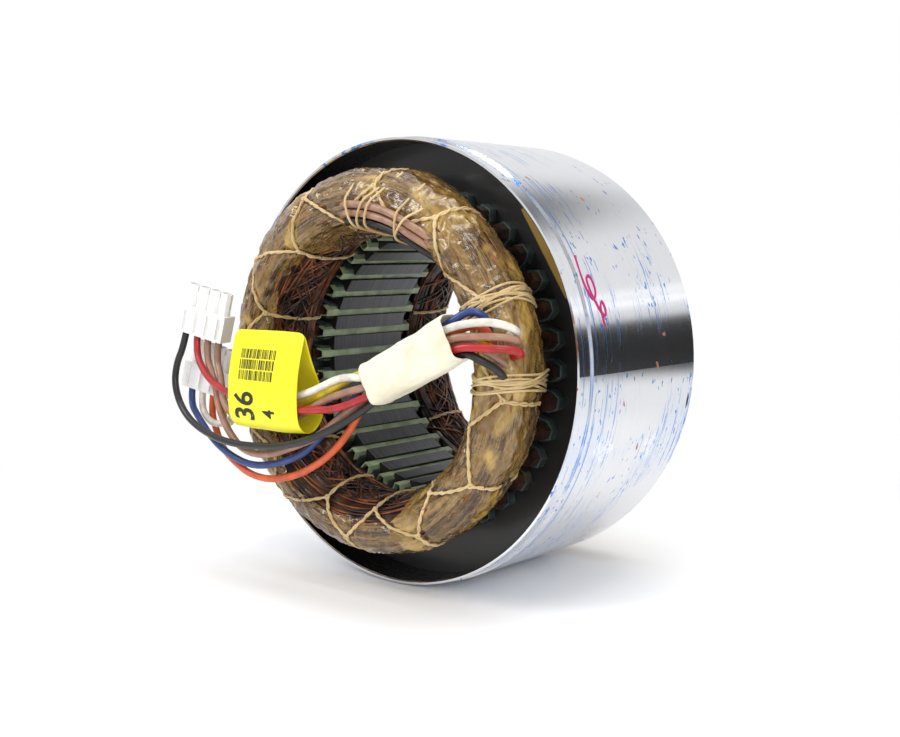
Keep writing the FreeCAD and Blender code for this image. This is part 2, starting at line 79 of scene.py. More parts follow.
def blend_of(a, b, share):
    return a + (b - a) * share


def smooth(low, high, value):
    share = min(1.0, max(0.0, (value - low) / (high - low)))
    return share * share * (3 - 2 * share)


# ---- finishes
class Value:
    """A socket whose arithmetic adds Math nodes to its owner's tree."""

    def __init__(self, owner, socket):
        self.owner = owner
        self.socket = socket

    def math(self, operation, *others):
        inputs = dict(enumerate((self, *others)))
        return self.owner.node("ShaderNodeMath", {"operation": operation}, inputs)

    def __add__(self, other):
        return self.math("ADD", other)

    def __mul__(self, other):
        return self.math("MULTIPLY", other)

    def __sub__(self, other):
        return self.math("SUBTRACT", other)

    def __rsub__(self, other):
        return self.owner.node("ShaderNodeMath", {"operation": "SUBTRACT"}, {0: other, 1: self})

    def __truediv__(self, other):
        return self.math("DIVIDE", other)

    def __gt__(self, other):
        return self.math("GREATER_THAN", other)

    def __lt__(self, other):
        return self.math("LESS_THAN", other)

    __radd__ = __add__
    __rmul__ = __mul__

    def power(self, exponent):
        return self.math("POWER", exponent)

    def step(self, low, high):
        """0 below low, 1 above high, smooth between."""
        inputs = {"Value": self, "From Min": low, "From Max": high}
        return self.owner.node("ShaderNodeMapRange", {"interpolation_type": "SMOOTHSTEP"}, inputs)


class Nodes:
    """A node tree built up by expressions."""

    def __init__(self, tree):
        self.tree = tree
        tree.nodes.clear()

    def node(self, kind, settings, inputs, output=0):
        """Add a node of a kind, with its settings and the values or links of its sockets."""
        node = self.tree.nodes.new(kind)
        for name, value in settings.items():
            setattr(node, name, value)
        for name, value in inputs.items():
            if isinstance(value, Value):
                self.tree.links.new(value.socket, node.inputs[name])
            else:
                node.inputs[name].default_value = value
        return Value(self, node.outputs[output])

    def split(self, vector):
        node = self.tree.nodes.new("ShaderNodeSeparateXYZ")
        self.tree.links.new(vector.socket, node.inputs[0])
        return [Value(self, output) for output in node.outputs]


class Finish(Nodes):
    """A material whose places count from the lead-end face along the bore, in metres."""

    def __init__(self, name):
        self.material = bpy.data.materials.new(name)
        self.material.use_nodes = True
        super().__init__(self.material.node_tree)
        self.shader = self.tree.nodes.new("ShaderNodeBsdfPrincipled")
        output = self.tree.nodes.new("ShaderNodeOutputMaterial")
        self.tree.links.new(self.shader.outputs[0], output.inputs["Surface"])
        self.surface = output.inputs["Surface"]
        coordinates = self.tree.nodes.new("ShaderNodeTexCoord")
        self.place = Value(self, coordinates.outputs["Object"])
        self.x, self.y, self.z = self.split(self.place)
        self.y = self.y - LEAD_FACE

    def join(self, x, y, z):
        return self.node("ShaderNodeCombineXYZ", {}, {0: x, 1: y, 2: z})

    def stretched(self, vector, scale):
        return self.node("ShaderNodeVectorMath", {"operation": "MULTIPLY"}, {0: vector, 1: scale})

    def noise(self, scale, detail=2.0, vector=None, roughness=0.5, distortion=0.0):
        inputs = {"Vector": vector or self.place, "Scale": scale, "Detail": detail, "Roughness": roughness,
                  "Distortion": distortion}
        return self.node("ShaderNodeTexNoise", {}, inputs)

    def cells(self, scale, feature, vector):
        inputs = {"Vector": vector, "Scale": scale}
        return self.node("ShaderNodeTexVoronoi", {"feature": feature}, inputs)

    def mix(self, share, first, second):
        settings = {"data_type": "RGBA"}
        colours = [colour if isinstance(colour, Value) else (*colour, 1.0) for colour in (first, second)]
        return self.node("ShaderNodeMix", settings, {0: share, 6: colours[0], 7: colours[1]}, output=2)

    def bump(self, height, distance, strength=1.0):
        inputs = {"Height": height, "Distance": distance, "Strength": strength}
        return self.node("ShaderNodeBump", {}, inputs)

    def set(self, **sockets):
        """Set the shader's own sockets; an underscore in a name stands for a space."""
        for name, value in sockets.items():
            target = self.shader.inputs[name.replace("_", " ")]
            if isinstance(value, Value):
                self.tree.links.new(value.socket, target)
            elif isinstance(value, tuple):
                target.default_value = (*value, 1.0)
            else:
                target.default_value = value
        return self

    def radius(self):
        return (self.x * self.x + self.z * self.z).power(0.5)

    def spot(self, y, z, half_y, half_z):
        """1 inside a soft oval patch on the +X side of the sleeve."""
        across = (self.y - y) / half_y
        up = (self.z - z) / half_z
        return (1 - (across * across + up * up).step(0.55, 1.0)) * (self.x > 0)


# lines of dye round the sleeve: metres from the lead-end face, half width and where it has faded,
# then the grain of its breaks and the noise levels between which they end
DYE_LINES = (
    (0.0128, 0.0002, 0.0006, 30.0, 0.36, 0.46),
    (0.0205, 0.0001, 0.0004, 50.0, 0.47, 0.53),
    (0.0265, 0.0001, 0.0004, 70.0, 0.50, 0.56),
)


def ground_steel():
    """Ground outside with blue dye in its scratches; the inner wall is painted near black."""
    steel = Finish("ground_steel")
    around = steel.stretched(steel.place, (5.0, 1000.0, 5.0))
    scratches = steel.noise(1.0, 3.0, around, 0.7)
    fine = steel.noise(1.0, 2.0, steel.stretched(steel.place, (25.0, 2600.0, 25.0)), 0.6)
    blotches = steel.noise(24.0, 4.0)
    low_side = 1 - steel.z.step(-0.04, 0.05)
    near_end = 1 - steel.y.step(0.004, 0.05)
    dye_area = (blotches + low_side * 0.08 + near_end * 0.08).step(0.50, 0.64)
    broken = steel.noise(1.0, 2.0, steel.stretched(steel.place, (130.0, 800.0, 130.0))).step(0.44, 0.52)
    streaks = scratches.step(0.570, 0.60) * dye_area * broken
    flecks = steel.noise(1.0, 1.0, steel.stretched(steel.place, (230.0, 520.0, 230.0))).step(0.66, 0.69)
    flecks = flecks * steel.noise(38.0, 2.0).step(0.50, 0.56)
    dye = streaks.math("MAXIMUM", flecks)
    for along, half_width, faded, grain, low, high in DYE_LINES:
        line = 1 - (steel.y - along).math("ABSOLUTE").step(half_width, faded)
        dye = dye.math("MAXIMUM", line * steel.noise(grain, 2.0).step(low, high))
    haze = (low_side * 0.75 + 0.1) * blotches.step(0.40, 0.70) * 0.30
    rust = steel.noise(120.0, 1.0).step(0.765, 0.785)
    smear = steel.noise(160.0, 4.0, None, 0.7).step(0.42, 0.58)
    wiped = steel.spot(0.026, -0.034, 0.009, 0.006).math("MAXIMUM", steel.spot(0.066, -0.037, 0.007, 0.007))
    wiped = wiped * smear
    nick = steel.spot(0.0935, -0.0185, 0.0020, 0.0045) * steel.noise(500.0, 2.0).step(0.3, 0.4)
    # the inner wall inside the mouth, painted near black
    inner = (1 - steel.radius().step(0.10262, 0.10275)) * steel.y.step(0.0004, 0.0008)
    colour = steel.mix(fine, (0.72, 0.73, 0.76), (0.84, 0.85, 0.88))
    colour = steel.mix(haze, colour, (0.42, 0.58, 0.86))
    colour = steel.mix(dye * 0.9, colour, (0.07, 0.27, 0.72))
    colour = steel.mix(rust, colour, (0.45, 0.14, 0.06))
    colour = steel.mix(wiped * 0.8, colour, (0.92, 0.94, 0.97))
    colour = steel.mix(nick, colour, (0.01, 0.01, 0.01))
    colour = steel.mix(inner, colour, steel.mix(blotches, (0.020, 0.019, 0.021), (0.085, 0.078, 0.078)))
    marks = dye.math("MAXIMUM", rust).math("MAXIMUM", nick)
    rough = 0.09 + fine * 0.07 + scratches * 0.06 + wiped * 0.35 + marks * 0.15 + inner * 0.12
    normal = steel.bump(scratches * 0.5 + fine * 0.5, 0.00002, 0.25)
    return steel.set(Base_Color=colour, Metallic=1 - rust * 0.6, Roughness=rough, Normal=normal).material


def lamination_steel():
    """Sheet edges along the bore, dark varnish on both end faces, and a painted golden reflection on the
    lead-end face.
    """
    core = Finish("lamination_edges")
    sheets = core.noise(1.0, 2.0, core.stretched(core.place, (18.0, 2200.0, 18.0)), 0.6)
    patches = core.noise(55.0, 4.0)
    reach = core.radius()
    tooth_face = 1 - reach.step(0.0604, 0.0607)
    ends = 1 - core.y.step(0.02155, 0.02165) * (1 - core.y.step(0.07235, 0.07245))
    # painted reflection: a golden crescent on the glossy lead-end face, between a chord and the sleeve wall
    chord = (core.x * 0.849 + core.z * 0.53).step(0.0862, 0.0867)
    painted_gold_reflection = chord * (core.x * 0.53 - core.z * 0.849).step(-0.0295, -0.0290)
    painted_gold_reflection = painted_gold_reflection * (1 - (core.x * 0.53 - core.z * 0.849).step(0.0165, 0.0170)) * ends * (core.y < 0.04)
    faces = core.mix(patches, (0.040, 0.040, 0.044), (0.15, 0.15, 0.16))
    faces = core.mix(sheets.step(0.35, 0.7) * 0.4, faces, (0.24, 0.24, 0.25))
    dark = core.mix(patches, (0.006, 0.006, 0.007), (0.022, 0.020, 0.020))
    colour = core.mix(tooth_face, dark, faces)
    colour = core.mix(ends, colour, dark)
    # the painted golden reflection goes into the end face's colour
    colour = core.mix(painted_gold_reflection, colour, core.mix(patches, (0.30, 0.18, 0.03), (0.48, 0.31, 0.07)))
    rough = 0.30 + patches * 0.25 + sheets * 0.08
    normal = core.bump(sheets * 0.4 + patches * 0.6, 0.00012, 0.6)
    core.set(Base_Color=colour, Metallic=0.45 + tooth_face * 0.4 - ends * 0.3, Roughness=rough, Normal=normal)
    return core.set(Coat_Weight=ends * 0.5, Coat_Roughness=0.2).material


def slot_paper(name, dark, pale, grain):
    paper = Finish(name)
    spread = paper.noise(grain, 4.0)
    fibres = paper.noise(1.0, 3.0, paper.stretched(paper.place, (900.0, 120.0, 900.0)))
    colour = paper.mix(spread.step(0.3, 0.7), dark, pale)
    stain = paper.noise(70.0, 3.0).step(0.55, 0.75) * 0.6
    colour = paper.mix(stain, colour, (0.10, 0.06, 0.02))
    normal = paper.bump(fibres + spread, 0.0002, 0.5)
    return paper.set(Base_Color=colour, Roughness=0.32 + spread * 0.25, Normal=normal).material


def magnet_wire(name, dark, bright, metal=0.55):
    wire = Finish(name)
    varnish = wire.noise(130.0, 3.0)
    colour = wire.mix(varnish.step(0.35, 0.68), dark, bright)
    normal = wire.bump(wire.noise(900.0, 2.0), 0.0001, 0.4)
    wire.set(Base_Color=colour, Metallic=metal, Roughness=0.22 + varnish * 0.25, Normal=normal)
    return wire.set(Coat_Weight=0.35, Coat_Roughness=0.15).material


def amber_film():
    """Varnished film tape: golden where it is thick, and clear over the brown wires elsewhere."""
    film = Finish("amber_film")
    angle = film.x.math("ARCTAN2", film.z)
    flow = film.join(angle * (RING_R * MM), film.radius(), film.y)
    patches = film.noise(34.0, 3.0, None, 0.5, 0.8)
    pools = film.noise(1.0, 4.0, film.stretched(flow, (45.0, 110.0, 110.0)), 0.6, 0.8)
    wires = film.noise(1.0, 3.0, film.stretched(flow, (22.0, 420.0, 420.0)), 0.6)
    strands = film.noise(1.0, 2.0, film.stretched(flow, (14.0, 1300.0, 1300.0)), 0.6)
    drift = film.join(*[film.noise(grain) * 0.010 for grain in (60.0, 75.0, 90.0)])
    warp = film.node("ShaderNodeVectorMath", {"operation": "ADD"}, {0: flow, 1: drift})
    facets = film.cells(1.0, "DISTANCE_TO_EDGE", film.stretched(warp, (75.0, 120.0, 120.0)))
    creases = 1 - facets.step(0.0, 0.10)
    thick = patches.step(0.43, 0.60)
    amber = film.mix(pools.step(0.36, 0.64), (0.17, 0.088, 0.016), (0.50, 0.32, 0.075))
    clear = film.mix(wires.step(0.36, 0.62), (0.30, 0.17, 0.045), (0.060, 0.026, 0.010))
    clear = film.mix(strands.step(0.50, 0.62) * 0.55, clear, (0.44, 0.30, 0.13))
    colour = film.mix(thick, clear, amber)
    colour = film.mix(pools.step(0.64, 0.74) * 0.7, colour, (0.075, 0.034, 0.012))
    height = facets.step(0.0, 0.35) * 0.8 + patches * 0.8 + wires * 0.25 + strands * 0.12
    normal = film.bump(height, 0.0010, 0.85)
    rough = 0.12 + patches * 0.14 + creases * 0.1
    cover = 0.74 + thick * 0.22
    film.set(Base_Color=colour, Roughness=rough, Alpha=cover, Normal=normal)
    return film.set(Coat_Weight=0.6, Coat_Roughness=0.03, Specular_IOR_Level=0.5).material


def lacing_twine():
    twine = Finish("waxed_twine")
    fibres = twine.noise(1500.0, 3.0)
    soil = twine.noise(60.0, 3.0)
    colour = twine.mix(soil.step(0.35, 0.7), (0.64, 0.47, 0.23), (0.42, 0.27, 0.09))
    colour = twine.mix(fibres * 0.4, colour, (0.80, 0.66, 0.42))
    return twine.set(Base_Color=colour, Roughness=0.55, Normal=twine.bump(fibres, 0.0003, 0.8)).material


def lead_skin(name, colour):
    """Extruded insulation, a little dusty."""
    skin = Finish(name)
    dust = skin.noise(160.0, 4.0)
    dull = tuple(channel * 0.72 for channel in colour)
    shade = skin.mix(dust.step(0.35, 0.65), colour, dull)
    normal = skin.bump(skin.noise(420.0, 2.0), 0.0001, 0.25)
    return skin.set(Base_Color=shade, Roughness=0.26 + dust * 0.2, Normal=normal).material


def woven_sleeving():
    cloth = Finish("woven_sleeving")
    soil = cloth.noise(70.0, 4.0)
    threads = cloth.noise(1600.0, 2.0)
    colour = cloth.mix(soil.step(0.4, 0.8), (0.80, 0.77, 0.62), (0.66, 0.60, 0.43))
    normal = cloth.bump(threads + cloth.noise(150.0, 3.0) * 1.5, 0.0003, 0.5)
    return cloth.set(Base_Color=colour, Roughness=0.55, Normal=normal).material


def plain(name, colour, roughness, grain=300.0, depth=0.00008, metallic=0.0):
    finish = Finish(name)
    soft = finish.noise(grain, 3.0)
    shade = finish.mix(soft.step(0.3, 0.8) * 0.25, colour, tuple(channel * 0.8 for channel in colour))
    finish.set(Base_Color=shade, Metallic=metallic, Roughness=roughness + soft * 0.12)
    return finish.set(Normal=finish.bump(soft, depth, 0.4)).material


# ---- making pieces
def add_piece(name, data, material, replaced=()):
    """Link a piece at the origin, give it its finish and let it ride on the one body."""
    piece = bpy.data.objects.new(name, data)
    bpy.context.scene.collection.objects.link(piece)
    data.materials.append(material)
    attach(piece, "root")
    if replaced:
        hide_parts(*replaced)
    return piece


def repaint(node, material):
    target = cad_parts[node]
    target.data.materials.clear()
    target.data.materials.append(material)


def mapped_sheet(name, columns, rows, place, closed_across=False):
    """A grid whose points are laid by place(u, v), with u and v from 0 to 1 as its UV map."""
    shape = bmesh.new()
    bmesh.ops.create_grid(shape, x_segments=columns, y_segments=rows, size=0.5, calc_uvs=True)
    for vertex in shape.verts:
        vertex.co = place(vertex.co.x + 0.5, vertex.co.y + 0.5)
    if closed_across:
        bmesh.ops.remove_doubles(shape, verts=shape.verts, dist=1e-6)
    mesh = bpy.data.meshes.new(name)
    shape.to_mesh(mesh)
    shape.free()
    for polygon in mesh.polygons:
        polygon.use_smooth = True
    return mesh


def thicken(piece, thickness):
    """Give a sheet its wall, on the inner side."""
    solidify = piece.modifiers.new("wall", "SOLIDIFY")
    solidify.thickness = thickness
    solidify.offset = -1.0


def curve_of(name, lines, radius, resolution, sides=2):
    """A bevelled curve of smooth open splines through the control points of lines."""
    curve = bpy.data.curves.new(name, "CURVE")
    curve.dimensions = "3D"
    curve.bevel_depth = radius * MM
    curve.bevel_resolution = sides
    curve.resolution_u = resolution
    curve.use_fill_caps = True
    for line in lines:
        spline = curve.splines.new("NURBS")
        spline.points.add(len(line) - 1)
        for point, co in zip(spline.points, line):
            point.co = (*co, 1.0)
        spline.order_u = 3
        spline.use_endpoint_u = True
    return curve


# ---- end windings
def ring_point(end, angle, oval, outset):
    """A point over an end winding. angle is about the bore axis from +X, oval is 0 on the crest,
    negative on the bore side, and end is -1 at the lead end and +1 at the far end."""
    radius = RING_R + (RING_HALF_WIDTH + outset) * math.sin(math.radians(oval))
    reach = (RING_HALF_REACH + outset) * math.cos(math.radians(oval))
    face = CORE_FRONT if end < 0 else CORE_REAR
    turn = math.radians(angle)
    return mm(radius * math.cos(turn), face + end * (RING_SETBACK + reach), radius * math.sin(turn))


def lumps(end, angle, oval, size, seed):
    """Smooth unevenness from -1 to 1 over a winding's surface; size is in millimetres."""
    spot = ring_point(end, angle, oval, 0) / (size * MM)
    return noise.noise(spot + Vector((seed, seed * 2, 0)))


NET_STEP = 15.0              # degrees between neighbouring knots of the lacing net
NET_FIRST = 25.0
NET_SLEEVE_SIDE = 30.0       # oval angles of the two rows of knots
NET_BORE_SIDE = -32.0


def net_knots(end):
    """Knots of the lacing net as (angle, oval), by turns on the sleeve side and the bore side."""
    scatter = random.Random(7 if end < 0 else 11)
    knots = []
    for index in range(round(360 / NET_STEP)):
        side = NET_SLEEVE_SIDE if index % 2 == 0 else NET_BORE_SIDE
        angle = NET_FIRST + index * NET_STEP + scatter.uniform(-3.0, 3.0)
        knots.append((angle, side + scatter.uniform(-13, 13)))
    return knots


def net_runs(end):
    """The net's straight stretches, from knot to knot and from each knot to the root."""
    knots = net_knots(end)
    runs = []
    for index, (angle, oval) in enumerate(knots):
        following = knots[(index + 1) % len(knots)]
        next_angle = following[0] + (360 if index + 1 == len(knots) else 0)
        runs.append(((angle, oval), (next_angle, following[1])))
        root = RING_ROOT - 4 if index % 2 == 0 else 4 - RING_ROOT
        runs.append(((angle, oval), (angle + (2 if index % 4 < 2 else -3), root)))
    return runs


NET_RUNS = {end: net_runs(end) for end in (LEAD_END, FAR_END)}
DEGREE_TO_MM = (1.32, 0.36)   # along the ring and along its section, at the crest


def pinch(end, angle, oval):
    """How much the film is drawn in next to the lacing, 0 to 1."""
    nearest = 99.0
    for (angle_a, oval_a), (angle_b, oval_b) in NET_RUNS[end]:
        offset = (angle - angle_a + 180) % 360 - 180
        along = (angle_b - angle_a) * DEGREE_TO_MM[0]
        across = (oval_b - oval_a) * DEGREE_TO_MM[1]
        step_along = offset * DEGREE_TO_MM[0]
        step_across = (oval - oval_a) * DEGREE_TO_MM[1]
        share = (step_along * along + step_across * across) / (along * along + across * across)
        share = min(1.0, max(0.0, share))
        gap = math.hypot(step_along - along * share, step_across - across * share)
        nearest = min(nearest, gap)
    return 1 - smooth(0.3, 4.5, nearest)


def slimming(end, angle, oval):
    """How far the coil heads draw in towards the slots on the sleeve side, in millimetres."""
    turn = (angle + 180) % 360 - 180
    near_exit = smooth(-110, -75, turn) * smooth(80, 45, turn) if end < 0 else 0.5
    fuller = smooth(60, 85, turn) * smooth(175, 140, turn) if end < 0 else 0.0
    return (1.0 + 5.0 * near_exit) * smooth(45, 125, oval) - 2.4 * fuller * smooth(15, 60, oval)


def film_outset(end, angle, oval):
    """Height of the film over the winding's oval, in millimetres."""
    swell = 1.1 * lumps(end, angle, oval, 20, 3.1) + 0.7 * lumps(end, angle, oval, 7, 8.4)
    ridge = 1 - abs(lumps(end, angle, oval, 5, 1.7)) * 3
    return 0.35 + swell + 0.5 * ridge - 1.1 * pinch(end, angle, oval) - slimming(end, angle, oval)


def core_outset(end, angle, oval):
    swell = 0.9 * lumps(end, angle, oval, 16, 5.5) + 0.4 * lumps(end, angle, oval, 5, 2.5)
    return swell - 1.1 - slimming(end, angle, oval)


CORE_OPEN = 0.9              # share of the section that is the oval; the rest closes it at the root


def winding_core(name, end, material, replaced):
    """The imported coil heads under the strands."""
    def place(u, v):
        angle = 360 * u
        across = blend_of(-1.0, 1.0, v)
        if abs(across) > CORE_OPEN:
            root_share = (1 - abs(across)) / (1 - CORE_OPEN)
            edges = [ring_point(end, angle, side * RING_ROOT, core_outset(end, angle, side * RING_ROOT))
                     for side in (-1, 1)]
            return blend_of((edges[0] + edges[1]) / 2, edges[across > 0], root_share)
        oval = RING_ROOT * across / CORE_OPEN
        return ring_point(end, angle, oval, core_outset(end, angle, oval))
    mesh = mapped_sheet(name, 288, 56, place, True)
    add_piece(name, mesh, material, replaced)


def bare_side(end, angle):
    """How far the film stops short on the bore side: 0 wrapped right round, 1 bare."""
    if end > 0:
        return 1.0
    turn = angle % 360
    return smooth(112, 128, turn) * (1 - smooth(292, 306, turn))


def film_edge(end, angle):
    """Oval angle of the film's torn edge on the bore side."""
    ragged = 14 * lumps(end, angle, -40, 15, 9.9) + 6 * lumps(end, angle, -40, 4, 4.2)
    turn = angle % 360
    lower = smooth(205, 235, turn) * (1 - smooth(285, 300, turn))
    bare = -48 + 34 * lower if end < 0 else -45
    return blend_of(-116.0, bare, bare_side(end, angle)) + ragged


def film_wrap(name, end, material, replaced):
    def place(u, v):
        angle = 360 * u
        oval = blend_of(film_edge(end, angle), 122.0, v)
        return ring_point(end, angle, oval, film_outset(end, angle, oval))
    mesh = mapped_sheet(name, 540, 96, place, True)
    add_piece(name, mesh, material, replaced)


def strand_line(end, angle, sweep, oval, drift, outset, points=14):
    phase = rng.uniform(0, 50)
    line = []
    for index in range(points):
        share = index / (points - 1)
        here = angle + sweep * share
        wave = 5 * noise.noise(Vector((here * 0.045, phase, 0)))
        at = min(126, max(-126, oval + drift * share + wave))
        dip = 1.2 * (smooth(0.12, 0, share) + smooth(0.88, 1, share))
        rise = outset + 0.7 * noise.noise(Vector((here * 0.06, phase + 9, 3)))
        line.append(ring_point(end, here, at, core_outset(end, here, at) + rise - dip))
    return line


def strands_for(end, count, angles, ovals):
    """Loose wires on the surface of the coil heads, between two angles and two oval angles."""
    lines = []
    for _ in range(count):
        sweep = rng.uniform(35, 75) * rng.choice((-1, 1))
        start = rng.uniform(*angles)
        oval = rng.uniform(*ovals)
        lines.append(strand_line(end, start, sweep, oval, rng.uniform(-14, 14), rng.uniform(0.1, 0.9)))
    return lines


def slot_wires(end, per_slot):
    """Wires that leave each slot and lean over into the coil heads."""
    lines = []
    face = CORE_FRONT if end < 0 else CORE_REAR
    for slot in range(SLOTS):
        for _ in range(per_slot):
            lean = rng.choice((-1, 1))
            angle = slot * 360 / SLOTS + rng.uniform(-1.6, 1.6)
            radius = rng.uniform(65, 73)
            line = []
            for share, reach in ((0.0, 4.0), (0.15, 7.5)):
                turn = math.radians(angle + lean * 4 * share)
                line.append(mm(radius * math.cos(turn), face + end * reach, radius * math.sin(turn)))
            oval = rng.uniform(-118, -100)
            sweep = rng.uniform(14, 30) * lean
            for share in (0.3, 0.55, 0.8, 1.0):
                at = oval + 55 * share * rng.uniform(0.85, 1.1)
                line.append(ring_point(end, angle + sweep * share, at, 0.6 - 1.6 * smooth(0.7, 1, share)))
            lines.append(line)
    return lines


def lacing_pair(end, start, finish, steps):
    """Two strands of twine twisted round each other from one place on the winding to another."""
    along = (finish[0] - start[0]) * DEGREE_TO_MM[0]
    across = (finish[1] - start[1]) * DEGREE_TO_MM[1]
    length = math.hypot(along, across)
    side = (-across / length / DEGREE_TO_MM[0], along / length / DEGREE_TO_MM[1])
    pair = []
    for sign in (-1, 1):
        line = []
        for index in range(steps + 1):
            share = index / steps
            angle = blend_of(start[0], finish[0], share)
            oval = blend_of(start[1], finish[1], share)
            height = twine_height(end, angle, oval)
            twist = share * length * 0.55
            swing = sign * 0.55 * math.cos(twist)
            lift = sign * 0.30 * math.sin(twist)
            line.append(ring_point(end, angle + side[0] * swing, oval + side[1] * swing, height + lift))
        pair.append(line)
    return pair


def twine_height(end, angle, oval):
    covered = oval > film_edge(end, angle) - 2
    surface = film_outset(end, angle, oval) if covered else core_outset(end, angle, oval) + 1.3
    return surface + 0.5


def lacing_net(name, end, material, replaced):
    """Twine net: a zigzag over the crest, a leg from each knot to the root, and the jumpers' turns."""
    lines = []
    for start, finish in NET_RUNS[end]:
        lines += lacing_pair(end, start, finish, 12 if abs(finish[1]) < 90 else 22)
    for angle, oval in net_knots(end):
        for twist in (0.0, 1.9):
            knot = []
            for index in range(9):
                turn = math.radians(45 * index)
                here = angle + 0.75 * math.cos(turn + twist)
                at = oval + 3.4 * math.sin(turn + twist) * 0.9
                knot.append(ring_point(end, here, at, twine_height(end, here, at) + 0.55 * (index % 2)))
            lines.append(knot)
    if end == LEAD_END:
        lines += jumper_loops()
    add_piece(name, curve_of(name, lines, TWINE_R, 3), material, replaced)


def jumper_loops():
    """Single turns of twine that hold the jumper leads down."""
    lines = []
    for angle, lean in ((62, 3), (66, -2), (79, 2.5), (82, 4), (90, -2)):
        line = [ring_point(LEAD_END, angle - lean, 60, twine_height(LEAD_END, angle, 60))]
        for radius, y in ((77.0, -29.6), (74.5, -31.6), (69.2, -31.4), (64.0, -29.4), (62.0, -24.0)):
            turn = math.radians(angle + lean * (74.5 - radius) / 12)
            line.append(mm(radius * math.cos(turn), y, radius * math.sin(turn)))
        line.append(ring_point(LEAD_END, angle + lean, -80, twine_height(LEAD_END, angle, -80)))
        lines.append(line)
    return lines


TIE_ANGLES = (23.0, -1.5)
TIE_SPREAD = 4.2
TIE_TURNS = 9
TIE_STEPS = 16


def heavy_tie(name, material, replaced):
    """Bunched turns of twine at both sides of the lead exit."""
    lines = []
    for middle in TIE_ANGLES:
        for _ in range(TIE_TURNS):
            near = middle + rng.uniform(-TIE_SPREAD, TIE_SPREAD)
            far = middle + rng.uniform(-TIE_SPREAD, TIE_SPREAD)
            line = []
            for index in range(TIE_STEPS + 1):
                share = index / TIE_STEPS
                oval = blend_of(4 - RING_ROOT, RING_ROOT - 4, share)
                angle = blend_of(near, far, share) + 1.2 * math.sin(share * 9 + near)
                lift = 0.35 + 0.9 * noise.noise(Vector((near * 3, share * 4, 0)))
                line.append(ring_point(LEAD_END, angle, oval, twine_height(LEAD_END, angle, oval) + lift))
            lines.append(line)
    add_piece(name, curve_of(name, lines, TWINE_R, 3), material, replaced)


def jumper_line(radius, y):
    """A lead laid along the crest, its ends tucked under the film."""
    line = []
    for index, angle in enumerate((48, 55, 61, 67, 74, 81, 88, 94, 99)):
        turn = math.radians(angle)
        tuck = {0: 7.0, 1: 1.5, 7: 1.5, 8: 7.0}.get(index, 0.0)
        wave = 0.5 * math.sin(angle * 0.3 + radius)
        line.append(mm(radius * math.cos(turn), y + tuck + wave * 0.5, radius * math.sin(turn)))
    return line


# ---- free leads: the bundle's stations and the routes at both ends, in millimetres
BUNDLE_RIGHT = Vector((70.0, -38.5, 17.8))
BUNDLE_LEFT = Vector((28.3, -43.0, -4.2))
BUNDLE_SAG = Vector((0, -1.2, -0.8))
ROW_AXIS = Vector((-0.466, 0, 0.885))
LAYER_AXIS = Vector((0, -1, 0))
ROW_PITCH = (4.4, 3.5)
LAYER_PITCH = (3.6, 3.25)
REAR_LAYER = 3.9

LAY = {
    "white": (1.0, 0.75, 1), "brown_1": (0.0, -0.25, 1), "red": (-1.0, -1.25, 1),
    "blue": (1.5, 1.25, 0), "orange": (0.5, 0.25, 0), "brown_2": (-0.5, -0.75, 0),
    "black": (-1.5, -1.75, 0), "yellow": (-0.5, 1.75, -1),
}

EXITS = {
    "white": [(80.0, -18.5, 17.5), (87.0, -20.8, 18.4), (90.5, -25.8, 20.6),
              (88.5, -32.5, 23.2), (82.0, -37.4, 24.3)],
    "brown_1": [(80.5, -18.5, 13.5), (87.5, -20.8, 14.6), (91.2, -26.2, 16.4),
                (89.0, -33.0, 18.0), (82.5, -37.8, 18.2)],
    "red": [(81.0, -18.2, 8.6), (88.5, -20.6, 9.6), (93.2, -26.0, 11.6),
            (91.0, -33.5, 13.4), (84.5, -38.3, 13.6)],
    "blue": [(75.0, -24.6, 19.6), (78.5, -28.0, 22.5), (77.5, -32.0, 27.0), (73.6, -35.0, 28.4)],
    "orange": [(75.4, -24.6, 15.0), (79.5, -28.6, 17.5), (80.0, -32.6, 21.0), (76.6, -35.4, 22.8)],
    "brown_2": [(81.5, -19.8, 5.2), (83.5, -25.3, 7.2), (82.0, -31.0, 10.6), (78.5, -36.2, 14.3)],
    "black": [(80.5, -20.0, -0.6), (83.0, -25.0, 1.6), (83.0, -30.0, 5.0), (79.5, -35.5, 8.5)],
    "yellow": [(78.5, -21.6, 11.5), (77.0, -27.3, 13.2), (75.5, -32.0, 15.0)],
}

